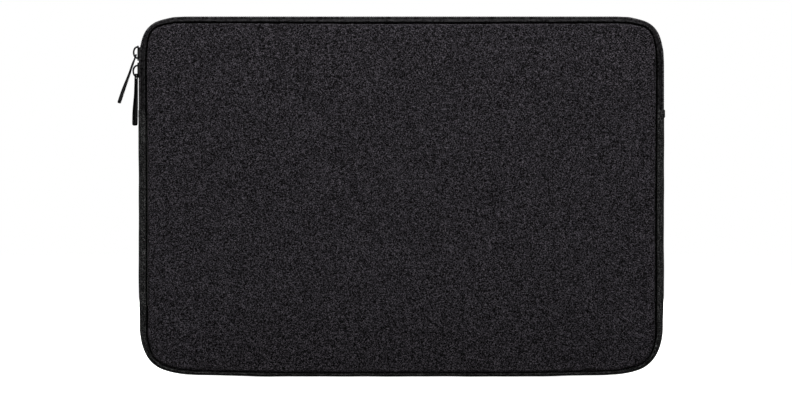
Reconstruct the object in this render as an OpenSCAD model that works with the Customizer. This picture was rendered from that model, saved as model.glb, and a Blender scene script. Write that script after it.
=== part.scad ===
// Padded laptop sleeve with a two-slider zip round its top.
// X is the width, Z the height and Y the thickness. The front faces -Y.
// The origin is the middle of the bottom edge.

/* [Sleeve] */
// Width across the edge band
sleeve_w = 400; // [340:1:440]
// Height from the bottom edge to the top edge
sleeve_h = 274; // [240:1:300]
// Thickness from the front cloth to the back cloth
sleeve_t = 26; // [24:0.5:34]
// Outer radius of the two top corners
top_r = 28; // [26:1:40]
// Outer radius of the two bottom corners
bottom_r = 37; // [26:1:44]

/* [Panels] */
// Thickness of the outer cloth
shell_t = 1.0; // [0.8:0.1:1.2]
// Thickness of the foam in the front and back panels
foam_t = 3.0; // [2:0.1:3.4]
// Thickness of the plush lining
lining_t = 0.8; // [0.6:0.1:1.0]
// Distance from the outline to the panel edge
panel_inset = 5.4; // [5.2:0.1:5.6]
// Distance from the outline to the edge of the foam and lining
foam_inset = 6.5; // [6.5:0.1:7]
// Width of the binding tape that covers the inner seam
binding_w = 2.4; // [1.5:0.1:4]
// Thickness of the binding tape
binding_t = 0.6; // [0.4:0.1:0.7]

/* [Edge band] */
// Half the width of the flat middle of the edge band
band_flat = 5.0; // [4:0.1:5.5]
// Radius of the edge band beside its seams
band_r = 6.0; // [5.9:0.1:6.4]
// Thickness of the foam in the edge band
band_foam_t = 2.4; // [1.5:0.1:2.6]
// How far the folded band end stands proud at each end of the zip
fold_proud = 0.7; // [0.3:0.1:0.8]
// Height of the folded band end
fold_h = 6; // [4:0.5:12]

/* [Zip] */
// Height of the two ends of the zip
zip_end_z = 203; // [195:1:210]
// Distance from the outline to the outer face of the coil
coil_inset = 0.3; // [0.2:0.1:0.5]
// Height of the coil over its tape
coil_t = 1.7; // [1.4:0.1:1.8]
// Half the width of the closed coil chain
coil_half = 2.9; // [2.6:0.1:3]
// Thickness of the zip tape
tape_t = 0.6; // [0.4:0.1:0.7]

/* [Sliders] */
// Length of a slider body
slider_len = 11.6; // [11:0.1:12]
// Distance between the middles of the two sliders when they meet
slider_pitch = 12.9; // [12.6:0.1:14]
// Half the width of a slider body at its wide end
slider_half = 4.2; // [4:0.1:4.4]
// Thickness of each slider plate
plate_t = 0.8; // [0.6:0.1:0.9]
// How far the bail stands out past the outline
bail_out = 4.3; // [4.2:0.1:4.6]
// Length of the bail along the slider
bail_len = 9.2; // [9:0.1:9.8]
// Width of the bail
bail_w = 2.0; // [1.6:0.1:2.2]

/* [Pull tabs] */
// Length of a pull tab from its pivot to its tip
pull_len = 39; // [30:0.5:39]
// Width of a pull tab at its grip
pull_w = 7.0; // [6:0.1:8]
// Thickness of a pull tab beside the bail
pull_t = 1.2; // [1.0:0.1:1.2]
// Extra thickness of the grip at the end of the tab
grip_t = 1.0; // [0.6:0.1:1.2]
// Length of the thicker grip
grip_len = 14; // [8:0.5:20]
// Angle that the upper tab leans out over the lower bail
upper_lean = 18.5; // [18.5:0.5:30]

/* [Hidden] */
$fn = 96;

half_w = sleeve_w / 2;
half_t = sleeve_t / 2;
// Depth from a panel's outer face to each of its layers
foam_start = shell_t;
lining_start = shell_t + foam_t;
binding_start = shell_t + foam_t + lining_t;
// The edge band stays this far inside the panels' outer faces
band_half = band_flat + band_r;
// Gap at the fold line between the flap and the lower front
fold_gap = 0.3;
fold_bottom_z = zip_end_z - fold_gap / 2;
fold_top_z = zip_end_z + fold_gap / 2;
// Larger than the sleeve in every direction, for clipping
reach = 2 * (sleeve_w + sleeve_h);

// Zip tape section
tape_inset = coil_inset + coil_t;
tape_edge = 1.2;
tape_bend = coil_half + 0.5;
// Slider levels, measured outward from the outline
plate_in = -0.05;
plate_out = plate_in + plate_t;
flange_in = -1.5;
flange_w = 0.9;
under_out = -3.4;
under_in = under_out - plate_t;
under_half = 3.5;
under_len = 8.8;
post_half = 0.9;
post_near = 1.0;
post_far = 4.2;
tail_half = 3.6;
nose_chamfer = 1.4;
upper_z = sleeve_h - top_r;
lower_z = upper_z - slider_pitch;
// Bail section
bail_bar = 1.1;
bail_r = 2.2;
upper_bail_shift = 1.4;
lower_bail_shift = 0.5;
// Pull tab section and pivot
pivot_out = 1.9;
eye_half = 1.5;
eye_len = 3.4;
head_half = 2.6;
bar_gap = 0.15;
tip_r = 1.6;
tip_hole_r = 1.1;
tip_hole_up = 3.4;

// ---- outlines ----

// The sleeve's outline drawn inward by inset, in X and Z
module outline(inset) {
    side = half_w - inset;
    top_c = half_w - top_r;
    low_c = half_w - bottom_r;
    for (s = [-1, 1]) {
        translate([s * low_c, bottom_r]) circle(bottom_r - inset);
        translate([s * top_c, sleeve_h - top_r]) circle(top_r - inset);
    }
    translate([-side, bottom_r]) square([2 * side, sleeve_h - top_r - bottom_r]);
    translate([-low_c, inset]) square([2 * low_c, bottom_r]);
    translate([-top_c, sleeve_h - top_r]) square([2 * top_c, top_r - inset]);
}

// A flat layer of the front panel, between two depths from its outer face
module front_layer(depth, thick) {
    translate([0, depth + thick - half_t, 0]) rotate([90, 0, 0]) linear_extrude(thick) children();
}

// The same layer on the back panel
module back_layer(depth, thick) {
    mirror([0, 1, 0]) front_layer(depth, thick) children();
}

module above_fold() {
    intersection() {
        children();
        translate([-reach / 2, -reach / 2, fold_top_z]) cube(reach);
    }
}

module below_fold() {
    intersection() {
        children();
        translate([-reach / 2, -reach / 2, fold_bottom_z - reach]) cube(reach);
    }
}

// ---- sweeps: a section is drawn with x inward from the outline and y as Y ----

// Runs a section up one side of the sleeve, on +X
module side_run(low, high) {
    translate([half_w, 0, low]) linear_extrude(high - low) mirror([1, 0]) children();
}

// Turns a section round a top corner, on +X
module corner_run(radius) {
    rotate([90, 0, 0])
        rotate_extrude(angle = 90)
            mirror([0, 1])
                translate([radius, 0])
                    mirror([1, 0])
                        children();
}

// From one zip end up, over the top and down to the other
module upper_run() {
    top_len = sleeve_w - 2 * top_r;
    for (s = [0, 1]) mirror([s, 0, 0]) {
        side_run(fold_top_z, sleeve_h - top_r) children();
        translate([half_w - top_r, 0, sleeve_h - top_r]) corner_run(top_r) children();
    }
    translate([-top_len / 2, 0, sleeve_h]) rotate([0, 90, 0]) linear_extrude(top_len) children();
}

// From one zip end down, along the bottom and up to the other
module lower_run() {
    bottom_len = sleeve_w - 2 * bottom_r;
    for (s = [0, 1]) mirror([s, 0, 0]) {
        side_run(bottom_r, fold_bottom_z) children();
        translate([half_w - bottom_r, 0, bottom_r]) mirror([0, 0, 1]) corner_run(bottom_r) children();
    }
    translate([bottom_len / 2, 0, 0]) rotate([0, -90, 0]) linear_extrude(bottom_len) children();
}

// ---- sections ----

// Everything inside the edge band's surface after it is drawn in by depth
module band_core(depth) {
    translate([depth, -band_flat]) square([band_r, 2 * band_flat]);
    for (s = [-1, 1]) translate([band_r, s * band_flat]) circle(band_r - depth);
    translate([band_r, depth - band_half]) square([band_r, 2 * (band_half - depth)]);
}

// One layer of the edge band, cut off at an inset
module band_layer(depth, thick, cut) {
    intersection() {
        difference() {
            band_core(depth);
            band_core(depth + thick);
        }
        translate([-1, -band_half]) square([cut + 1, 2 * band_half]);
    }
}

// The folded band end stands out over the flat part of the band
module fold_section() {
    translate([-fold_proud, -band_flat]) square([fold_proud, 2 * band_flat]);
}

// Front half of the zip tape
module tape_section() {
    polygon([
        [tape_inset, -tape_edge],
        [tape_inset, -tape_bend],
        [panel_inset, -band_half],
        [panel_inset + tape_t, -band_half],
        [tape_inset + tape_t, -tape_bend],
        [tape_inset + tape_t, -tape_edge]
    ]);
}

// Front half of the coil
module coil_section() {
    middle_gap = 0.05;
    translate([coil_inset, -coil_half]) square([coil_t, coil_half - middle_gap]);
}

// ---- panels ----

// Cloth of one panel: the face and the edge that turns in to the seam
module panel_shell() {
    turn_depth = half_t - band_half;
    front_layer(0, shell_t) outline(panel_inset);
    front_layer(shell_t, turn_depth - shell_t) difference() {
        outline(panel_inset);
        outline(foam_inset);
    }
}

module binding_ring() {
    ring_inset = foam_inset + 0.5;
    front_layer(binding_start, binding_t) difference() {
        outline(ring_inset);
        outline(ring_inset + binding_w);
    }
}

module front_shell_lower() {
    color("#262428") below_fold() panel_shell();
}

module front_shell_flap() {
    color("#262428") above_fold() panel_shell();
}

module front_foam_lower() {
    color("#8a8a8a") below_fold() front_layer(foam_start, foam_t) outline(foam_inset);
}

module front_foam_flap() {
    color("#8a8a8a") above_fold() front_layer(foam_start, foam_t) outline(foam_inset);
}

module front_lining_lower() {
    color("#1c1c1e") below_fold() front_layer(lining_start, lining_t) outline(foam_inset);
}

module front_lining_flap() {
    color("#1c1c1e") above_fold() front_layer(lining_start, lining_t) outline(foam_inset);
}

module front_binding_lower() {
    color("#141414") below_fold() binding_ring();
}

module front_binding_flap() {
    color("#141414") above_fold() binding_ring();
}

module back_shell() {
    color("#262428") mirror([0, 1, 0]) panel_shell();
}

module back_foam() {
    color("#8a8a8a") back_layer(foam_start, foam_t) outline(foam_inset);
}

module back_lining() {
    color("#1c1c1e") back_layer(lining_start, lining_t) outline(foam_inset);
}

module back_binding() {
    color("#141414") mirror([0, 1, 0]) binding_ring();
}

// ---- edge band ----

module gusset_shell() {
    color("#242327") {
        lower_run() band_layer(0, shell_t, panel_inset);
        for (s = [0, 1]) mirror([s, 0, 0]) side_run(fold_bottom_z - fold_h, fold_bottom_z) fold_section();
    }
}

module gusset_foam() {
    color("#8a8a8a") lower_run() band_layer(shell_t, band_foam_t, foam_inset - 0.1);
}

module gusset_lining() {
    color("#1c1c1e") lower_run() band_layer(shell_t + band_foam_t, lining_t, foam_inset - 0.1);
}

// ---- zip ----

module half_coil() {
    window_low = lower_z + post_near - 0.4;
    window_high = upper_z - post_near + 0.4;
    difference() {
        upper_run() coil_section();
        translate([-half_w - 1, -tape_edge, window_low])
            cube([2 * tape_inset, 2 * tape_edge, window_high - window_low]);
    }
}

module front_tape() {
    color("#1b1b1d") upper_run() tape_section();
}

module back_tape() {
    color("#1b1b1d") mirror([0, 1, 0]) upper_run() tape_section();
}

module front_coil() {
    color("#101010") half_coil();
}

module back_coil() {
    color("#101010") mirror([0, 1, 0]) half_coil();
}

// ---- sliders: drawn with x outward from the outline, z along the zip, wide end up ----

// Turns a slider's outward side to -X and puts it on the left edge
module on_left(z) {
    translate([-half_w, 0, z]) mirror([1, 0, 0]) children();
}

module slider_outline() {
    end = slider_len / 2;
    polygon([
        [-tail_half + nose_chamfer, -end], [tail_half - nose_chamfer, -end],
        [tail_half, nose_chamfer - end], [slider_half, end - 2 * nose_chamfer],
        [slider_half - nose_chamfer / 2, end - nose_chamfer / 2], [nose_chamfer, end],
        [0, end - nose_chamfer], [-nose_chamfer, end],
        [nose_chamfer / 2 - slider_half, end - nose_chamfer / 2], [-slider_half, end - 2 * nose_chamfer],
        [-tail_half, nose_chamfer - end]
    ]);
}

// Lays a drawing in y and z on a level and gives it a thickness outward
module level(low, thick) {
    translate([low, 0, 0]) rotate([90, 0, 90]) linear_extrude(thick) children();
}

module slider_body() {
    flange_len = slider_len - 2 * nose_chamfer - 1;
    level(plate_in, plate_t) slider_outline();
    for (s = [0, 1]) mirror([0, s, 0])
        translate([flange_in, slider_half - flange_w - 0.3, -flange_len / 2 - 0.5])
            cube([plate_in - flange_in + plate_t / 2, flange_w, flange_len]);
    level(under_in, plate_t) translate([-under_half, -under_len / 2]) square([2 * under_half, under_len]);
    translate([under_in, -post_half, post_near]) cube([plate_out - under_in, 2 * post_half, post_far - post_near]);
}

// A flat strip bent to an arch, its feet on the outer plate
module bail() {
    height = bail_out - plate_out;
    translate([0, bail_w / 2, 0]) rotate([90, 0, 0]) linear_extrude(bail_w)
        intersection() {
            difference() {
                bail_arch(plate_out, height, bail_len, bail_r);
                bail_arch(plate_out - 1, height - bail_bar + 1, bail_len - 2 * bail_bar, bail_r - bail_bar);
            }
            translate([plate_out, -bail_len]) square([height, 2 * bail_len]);
        }
}

module bail_arch(foot, height, len, corner_r) {
    top = foot + height;
    translate([foot, -len / 2]) square([height - corner_r, len]);
    translate([foot, corner_r - len / 2]) square([height, len - 2 * corner_r]);
    for (s = [-1, 1]) translate([top - corner_r, s * (len / 2 - corner_r)]) circle(corner_r);
}

// ---- pull tabs: drawn hanging from the origin, with x outward ----

module pull_outline() {
    neck_z = -eye_len - 3;
    wide_z = grip_len - pull_len;
    half = pull_w / 2;
    difference() {
        union() {
            polygon([
                [-head_half, 0], [head_half, 0], [head_half, neck_z], [half, wide_z],
                [half, tip_r - pull_len], [half - tip_r, -pull_len],
                [tip_r - half, -pull_len], [-half, tip_r - pull_len],
                [-half, wide_z], [-head_half, neck_z]
            ]);
            for (s = [-1, 1]) translate([s * (half - tip_r), tip_r - pull_len]) circle(tip_r);
        }
        translate([-eye_half, -eye_len]) square([2 * eye_half, eye_len + 1]);
        translate([0, tip_hole_up - pull_len]) circle(tip_hole_r);
    }
}

module pull_tab() {
    level(-pull_t / 2, pull_t) pull_outline();
    level(pull_t / 2, grip_t) intersection() {
        pull_outline();
        translate([-pull_w, -pull_len]) square([2 * pull_w, grip_len]);
    }
    translate([0, head_half, 0]) rotate([90, 0, 0]) cylinder(r = pull_t / 2, h = 2 * head_half);
}

upper_pivot_z = upper_z + upper_bail_shift - bail_len / 2 + bail_bar + bar_gap + pull_t / 2;
lower_pivot_z = lower_z - lower_bail_shift - bail_len / 2 + bail_bar + bar_gap + pull_t / 2;

module upper_slider() {
    color("#151515") on_left(upper_z) mirror([0, 0, 1]) slider_body();
}

module upper_bail() {
    color("#1a1a1a") on_left(upper_z + upper_bail_shift) bail();
}

module upper_pull() {
    color("#1a1a1a") on_left(upper_pivot_z) translate([pivot_out, 0, 0]) rotate([0, -upper_lean, 0]) pull_tab();
}

module lower_slider() {
    color("#151515") on_left(lower_z) slider_body();
}

module lower_bail() {
    color("#1a1a1a") on_left(lower_z - lower_bail_shift) bail();
}

module lower_pull() {
    color("#1a1a1a") on_left(lower_pivot_z) translate([pivot_out, 0, 0]) pull_tab();
}

front_shell_lower();
front_shell_flap();
front_foam_lower();
front_foam_flap();
front_lining_lower();
front_lining_flap();
front_binding_lower();
front_binding_flap();
back_shell();
back_foam();
back_lining();
back_binding();
gusset_shell();
gusset_foam();
gusset_lining();
front_tape();
back_tape();
front_coil();
back_coil();
upper_slider();
upper_bail();
upper_pull();
lower_slider();
lower_bail();
lower_pull();
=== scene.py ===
"""The looks of the padded laptop sleeve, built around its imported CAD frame.

Lengths are in mm until a mesh is made. side is -1 for the front and 1 for the back.
"""

import math

import bmesh
import bpy
import numpy as np
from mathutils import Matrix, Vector
from mathutils.geometry import delaunay_2d_cdt


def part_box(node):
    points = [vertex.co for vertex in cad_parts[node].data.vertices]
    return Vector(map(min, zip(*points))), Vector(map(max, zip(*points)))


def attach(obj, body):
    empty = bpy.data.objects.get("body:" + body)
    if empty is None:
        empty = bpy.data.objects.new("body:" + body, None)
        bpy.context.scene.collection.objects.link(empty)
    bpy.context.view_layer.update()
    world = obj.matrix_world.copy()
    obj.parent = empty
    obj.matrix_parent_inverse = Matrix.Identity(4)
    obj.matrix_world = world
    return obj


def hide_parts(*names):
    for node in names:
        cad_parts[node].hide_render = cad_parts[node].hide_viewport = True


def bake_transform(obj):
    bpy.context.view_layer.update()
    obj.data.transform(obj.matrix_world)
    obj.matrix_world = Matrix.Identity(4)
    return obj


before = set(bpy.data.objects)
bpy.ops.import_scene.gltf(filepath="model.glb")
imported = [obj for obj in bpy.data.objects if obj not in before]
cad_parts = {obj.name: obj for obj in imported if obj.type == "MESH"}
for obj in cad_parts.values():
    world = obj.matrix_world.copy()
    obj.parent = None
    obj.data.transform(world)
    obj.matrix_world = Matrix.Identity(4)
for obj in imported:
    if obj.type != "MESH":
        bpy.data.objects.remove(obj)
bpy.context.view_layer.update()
scene = bpy.context.scene
MM = 0.001

# ---- sizes, from the CAD nodes where they can be read ----


def middle_z(node):
    """The height of the middle of a node."""
    low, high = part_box(node)
    return (low.z + high.z) / 2 / MM


# A panel of the CAD lies this far inside the outline
PANEL_INSET = 5.4
HALF_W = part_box("back_shell")[1].x / MM + PANEL_INSET
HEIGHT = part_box("back_shell")[1].z / MM + PANEL_INSET
# The zip's ends, where the front folds
ZIP_Z = (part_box("front_shell_lower")[1].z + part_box("front_shell_flap")[0].z) / 2 / MM
UPPER_Z = middle_z("upper_slider")
LOWER_Z = middle_z("lower_slider")
TOP_R, BOTTOM_R = 28.0, 37.0
# From the middle of the sleeve to the face of a panel, beside its seam
FACE_Y = 12.5
# How much nearer that is at the bottom, and the height that it starts from
LOW_DROPS = [(2.2, 75), (0.8, 24)]
# How far the edge of a panel rolls in from the seam, and how deep it goes
ROLL_IN, ROLL_DEEP = 1.9, 3.5
# The most that the air lifts the middle of a panel
CROWN = 2.4

# ---- the outline: s runs clockwise from the left end of the zip ----

QUARTER = math.pi / 2
# The middles of the corners: x of the upper and the lower ones, and z of the upper ones
TOP_C, LOW_C = HALF_W - TOP_R, HALF_W - BOTTOM_R
TOP_Z = HEIGHT - TOP_R
# A line: its length, start, heading and outward normal. An arc: its length, centre, radius and first angle
SEGMENTS = [
    ("line", TOP_Z - ZIP_Z, (-HALF_W, ZIP_Z), (0, 1), (-1, 0)),
    ("arc", TOP_R * QUARTER, (-TOP_C, TOP_Z), TOP_R, math.pi),
    ("line", 2 * TOP_C, (-TOP_C, HEIGHT), (1, 0), (0, 1)),
    ("arc", TOP_R * QUARTER, (TOP_C, TOP_Z), TOP_R, QUARTER),
    ("line", TOP_Z - BOTTOM_R, (HALF_W, TOP_Z), (0, -1), (1, 0)),
    ("arc", BOTTOM_R * QUARTER, (LOW_C, BOTTOM_R), BOTTOM_R, 0),
    ("line", 2 * LOW_C, (LOW_C, 0), (-1, 0), (0, -1)),
    ("arc", BOTTOM_R * QUARTER, (-LOW_C, BOTTOM_R), BOTTOM_R, -QUARTER),
    ("line", ZIP_Z - BOTTOM_R, (-HALF_W, BOTTOM_R), (0, 1), (-1, 0)),
]
LOOP = sum(seg[1] for seg in SEGMENTS)
ZIP_LEN = 2 * (TOP_Z - ZIP_Z) + 2 * TOP_R * QUARTER + 2 * TOP_C


def outline(s):
    """x, z and the outward normal on the outline, at s."""
    s = np.mod(np.asarray(s, float), LOOP)
    x, z, nx, nz = (np.zeros_like(s) for _ in range(4))
    at = 0.0
    for kind, length, origin, a, b in SEGMENTS:
        here = (s >= at - 1e-9) & (s <= at + length + 1e-9)
        t = s[here] - at
        if kind == "line":
            heading, normal = a, b
            x[here], z[here] = origin[0] + heading[0] * t, origin[1] + heading[1] * t
            nx[here], nz[here] = normal
        else:
            radius, angle = a, b - t / a
            nx[here], nz[here] = np.cos(angle), np.sin(angle)
            x[here], z[here] = origin[0] + radius * nx[here], origin[1] + radius * nz[here]
        at += length
    return x, z, nx, nz


def depth(x, z):
    """How far inside the outline a point lies."""
    d = np.minimum(HALF_W - np.abs(x), np.minimum(z, HEIGHT - z))
    for r, c, corner in ((TOP_R, TOP_Z, z > TOP_Z), (BOTTOM_R, BOTTOM_R, z < BOTTOM_R)):
        round_it = corner & (np.abs(x) > HALF_W - r)
        d = np.where(round_it, r - np.hypot(np.abs(x) - (HALF_W - r), z - c), d)
    return d


def ease(t):
    """A smooth rise from 0 to 1."""
    t = np.clip(t, 0, 1)
    return t * t * (3 - 2 * t)


def bump(value, middle, reach):
    """1 at the middle, falling smoothly to 0 at reach to either side of it."""
    return ease(1 - np.abs((value - middle) / reach))


# A corner's full part and its flat ones, at the end and at the side: their middle and reach, in degrees
TURN_FULL, TURN_END, TURN_SIDE = (45, 22), (13, 23), (78, 23)
# That shaping dies out over this length of the straight edges beside the corner
CORNER_FADE = 9
# Where the sides are drawn in: how far, its upper end and fade, its lower end and fade
WAISTS = [(0.2, 190, 60, 10, 20), (0.75, 66, 26, 16, 16)]
# How the bottom edge is lifted towards its ends: how far, where that starts and over what width it grows
END_LIFTS = [(1.0, 98, 60), (0.3, 152, 14)]
# The lift dies out upwards over this height
END_LIFT_HEIGHT = 14


def turn(x, z, centre_x, centre_z, radius, up, full, flat_end, flat_side):
    """How far the cloth of one pair of corners lies outside its arc, as x and z.

    It is full in the middle of the turn, and flat where the turn meets the edge at the top or the bottom
    (flat_end) and at the side (flat_side).
    """
    u, w = np.abs(x) - centre_x, up * (z - centre_z)
    over, above = np.clip(u, 0, None), np.clip(w, 0, None)
    angle = np.degrees(np.arctan2(over, above))
    out = full * bump(angle, *TURN_FULL) - flat_end * bump(angle, *TURN_END)
    out = out - flat_side * bump(angle, *TURN_SIDE)
    out = out * ease(1 + np.minimum(u, 0) / CORNER_FADE) * ease(1 + np.minimum(w, 0) / CORNER_FADE)
    out = out * ease(np.hypot(over, above) / radius)
    return np.sign(x) * out * np.sin(np.radians(angle)), up * out * np.cos(np.radians(angle))


def settle(x, z):
    """The give of the cloth: a little narrower lower down, with soft corners and the bottom ones drawn up."""
    taper = sum(
        far * ease((top - z) / top_fade) * ease((z - low) / low_fade)
        for far, top, top_fade, low, low_fade in WAISTS
    )
    lift = sum(far * ease((np.abs(x) - start) / width) for far, start, width in END_LIFTS)
    lift = lift * np.clip(1 - z / END_LIFT_HEIGHT, 0, 1) ** 3
    top_x, top_z = turn(x, z, TOP_C, TOP_Z, TOP_R, 1, full=0.46, flat_end=0.75, flat_side=0.7)
    low_x, low_z = turn(x, z, LOW_C, BOTTOM_R, BOTTOM_R, -1, full=0.6, flat_end=0.6, flat_side=0.0)
    return x * (1 - taper / HALF_W) + top_x + low_x, z + lift + top_z + low_z


def wave(s, sizes, seed=0.0):
    """An irregular ripple of height about 1 along s, from waves of these lengths."""
    total = sum(np.sin(2 * math.pi * s / p + 1.7 * k + seed * (k + 1)) for k, p in enumerate(sizes))
    return total / math.sqrt(len(sizes))


# The seam's distance from the outline beside each straight edge
SEAM_LEFT, SEAM_RIGHT, SEAM_UPPER, SEAM_LOWER = 6.55, 6.25, 5.0, 2.65
# How much nearer to the outline it runs round the corners, by distance past the middle of the corner
SEAM_TOP = [(-72, 0), (-64, 0.6), (-22, 0.7), (0, 1.8), (20, 0.5), (60, 0.4), (150, 0)]
SEAM_LOW = [(-50, 0), (-26, 1.0), (-3, 1.2), (13, -0.6), (26, -1.3), (45, -0.9), (115, 0)]
# The upper right corner's share of SEAM_TOP
SEAM_TOP_RIGHT = 0.65
# How far the seam lies below the face of the panel
SEAM_DEPTH = 1.7


def past_corner(x, z, nx, nz, centre_x, centre_z, radius, up):
    """Distance along the outline from the middle of the nearest corner, growing along the long edge."""
    angle = np.arctan2(np.clip(up * nz, 0, 1), np.abs(nx)) - QUARTER / 2
    return radius * angle + np.clip(centre_x - np.abs(x), 0, None) - np.clip(up * (centre_z - z), 0, None)


def seam_inset(s):
    """The seam's distance from the outline."""
    x, z, nx, nz = outline(s)
    top = past_corner(x, z, nx, nz, TOP_C, TOP_Z, TOP_R, 1)
    low = past_corner(x, z, nx, nz, LOW_C, BOTTOM_R, BOTTOM_R, -1)
    nearer = np.interp(top, *zip(*SEAM_TOP)) * np.where(x < 0, 1, SEAM_TOP_RIGHT)
    nearer = nearer + np.interp(low, *zip(*SEAM_LOW))
    beside = np.where(nx < 0, SEAM_LEFT, SEAM_RIGHT) * nx**2
    beside = beside + np.where(nz > 0, SEAM_UPPER, SEAM_LOWER) * nz**2
    return beside - nearer


def face_y(z):
    """Distance of the panel's face from the middle of the sleeve, beside its seam."""
    y = FACE_Y
    for drop, height in LOW_DROPS:
        y = y - drop * np.clip(1 - z / height, 0, 1) ** 2
    return y


def seam_y(s):
    """The seam's distance from the middle of the sleeve."""
    return face_y(outline(s)[1]) - SEAM_DEPTH


def place(s, inset, y):
    """Points at an inset from the outline, as an array of x, y, z."""
    x, z, nx, nz = outline(s)
    x, z = settle(x - nx * inset, z - nz * inset)
    return np.stack([x, y + 0 * x, z], -1)


# ---- meshes ----


def mesh_piece(name, verts, faces, grain=None):
    """A mesh object from points in mm. grain is where each point lies in the cloth, for its material."""
    me = bpy.data.meshes.new(name)
    verts = np.asarray(verts, float)
    me.from_pydata((verts * MM).tolist(), [], faces)
    me.validate()
    put_grain(me, verts if grain is None else grain)
    me.polygons.foreach_set("use_smooth", [True] * len(me.polygons))
    obj = bpy.data.objects.new(name, me)
    scene.collection.objects.link(obj)
    return obj


def put_grain(me, grain):
    """Writes where each point lies in the cloth."""
    me.attributes.new("grain", "FLOAT_VECTOR", "POINT")
    me.attributes["grain"].data.foreach_set("vector", (np.asarray(grain, float) * MM).ravel())


def outward(obj):
    """Turns every face outwards."""
    bm = bmesh.new()
    bm.from_mesh(obj.data)
    bmesh.ops.recalc_face_normals(bm, faces=bm.faces)
    bm.to_mesh(obj.data)
    bm.free()
    return obj


def lattice(rows, cols, close_rows=False, close_cols=False, start=0):
    """Faces of a grid of points numbered row by row."""
    faces = []
    for i in range(rows if close_rows else rows - 1):
        for j in range(cols if close_cols else cols - 1):
            near, far = start + i * cols, start + (i + 1) % rows * cols
            next_j = (j + 1) % cols
            faces.append([near + j, near + next_j, far + next_j, far + j])
    return faces


def sweep(name, s, section, closed=False, woven_along=False):
    """A tube along the outline. section(s) gives arrays of inset and y, one row for each s.

    With woven_along the cloth's grain follows the tube.
    """
    inset, y = section(s)
    rows, cols = inset.shape
    flat_s = np.repeat(s, cols)
    verts = place(flat_s, inset.ravel(), y.ravel())
    faces = lattice(rows, cols, close_rows=closed, close_cols=True)
    if not closed:
        faces += [list(range(cols)), list(range((rows - 1) * cols, rows * cols))]
    grain = None
    if woven_along:
        step = np.hypot(np.diff(inset, axis=1, prepend=inset[:, :1]), np.diff(y, axis=1, prepend=y[:, :1]))
        across = np.cumsum(step, axis=1).ravel()
        grain = np.stack([flat_s, across, 0 * across], -1)
    return outward(mesh_piece(name, verts, faces, grain))


def fill_flat(points, ring_count, lines, tolerance):
    """Triangles over flat points, as point numbers.

    The first ring_count points are the ring around them, and lines are other edges that they keep to.
    """
    flat = [Vector(p) for p in points]
    _, _, faces, origin, _, _ = delaunay_2d_cdt(flat, lines, [list(range(ring_count))], 1, tolerance)
    back = [o[0] if o else -1 for o in origin]
    return [[back[i] for i in f] for f in faces if all(back[i] >= 0 for i in f)]


# Rows of points are this close together, this far above and below the fold line
FOLD_STEP, FOLD_ZONE = 2.0, 10


def grid_points(step, margin):
    """Points over the panel, further than margin inside the outline, closer together near the fold line."""
    below = np.arange(step, ZIP_Z - FOLD_ZONE - step / 2, step)
    near = np.arange(ZIP_Z - FOLD_ZONE, ZIP_Z + FOLD_ZONE + 0.1, FOLD_STEP)
    above = np.arange(ZIP_Z + FOLD_ZONE + step, HEIGHT, step)
    rows = np.concatenate([below, near, above])
    cols = np.arange(-HALF_W + step / 2, HALF_W, step)
    x, z = (g.ravel() for g in np.meshgrid(cols, rows))
    x = x + np.where((np.round(z * 7) % 2) > 0, step / 4, -step / 4)
    keep = depth(x, z) > margin
    return np.stack([x[keep], z[keep]], -1)


def layered(name, rings, low_inner, high_inner, y_of):
    """A closed soft layer: rings of (x, z, y) between a flat filled face and one that y_of(x, z) shapes."""
    n = len(rings[0])
    flat = np.vstack(rings)
    low_start = len(flat)
    high_start = low_start + len(low_inner)
    faces = lattice(len(rings), n, close_cols=True)
    for first, inner, start in ((0, low_inner, low_start), (len(rings) - 1, high_inner, high_start)):
        for f in fill_flat(np.vstack([rings[first][:, :2], inner]), n, [], 1e-5):
            faces.append([i + first * n if i < n else i - n + start for i in f])
    low_y = np.full(len(low_inner), np.median(rings[0][:, 2]))
    high_y = y_of(high_inner[:, 0], high_inner[:, 1])
    inner = np.column_stack([np.vstack([low_inner, high_inner]), np.concatenate([low_y, high_y])])
    flat = np.vstack([flat, inner])
    x, z = settle(flat[:, 0], flat[:, 1])
    return outward(mesh_piece(name, np.stack([x, flat[:, 2], z], -1), faces))


# The rings of a stitch from end to end: place along it, share of its radius, share of its lift
STITCH_RINGS = [(0.0, 0.35, -0.6), (0.12, 0.8, 0.1), (0.5, 1.0, 1.0), (0.88, 0.8, 0.1), (1.0, 0.35, -0.6)]
STITCH_SIDES = 6


def stitches(name, starts, ends, outs, radius, lift=0.12):
    """Short rounded threads between pairs of points, standing a little off the cloth."""
    starts, ends, outs = (np.asarray(a, float) for a in (starts, ends, outs))
    along = ends - starts
    side = np.cross(along, outs)
    side /= np.linalg.norm(side, axis=1)[:, None]
    verts, faces = [], []
    for t, size, up in STITCH_RINGS:
        for k in range(STITCH_SIDES):
            a = 2 * math.pi * k / STITCH_SIDES
            centre = starts + along * t + outs * (lift * up)
            verts.append(centre + radius * size * (side * math.cos(a) + outs * math.sin(a)))
    verts = np.stack(verts, 1)
    per = len(STITCH_RINGS) * STITCH_SIDES
    for first in range(0, len(starts) * per, per):
        faces += lattice(len(STITCH_RINGS), STITCH_SIDES, close_cols=True, start=first)
        last = first + per - STITCH_SIDES
        faces += [list(range(first, first + STITCH_SIDES)), list(range(last, last + STITCH_SIDES))]
    return outward(mesh_piece(name, verts.reshape(-1, 3), faces))


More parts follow.
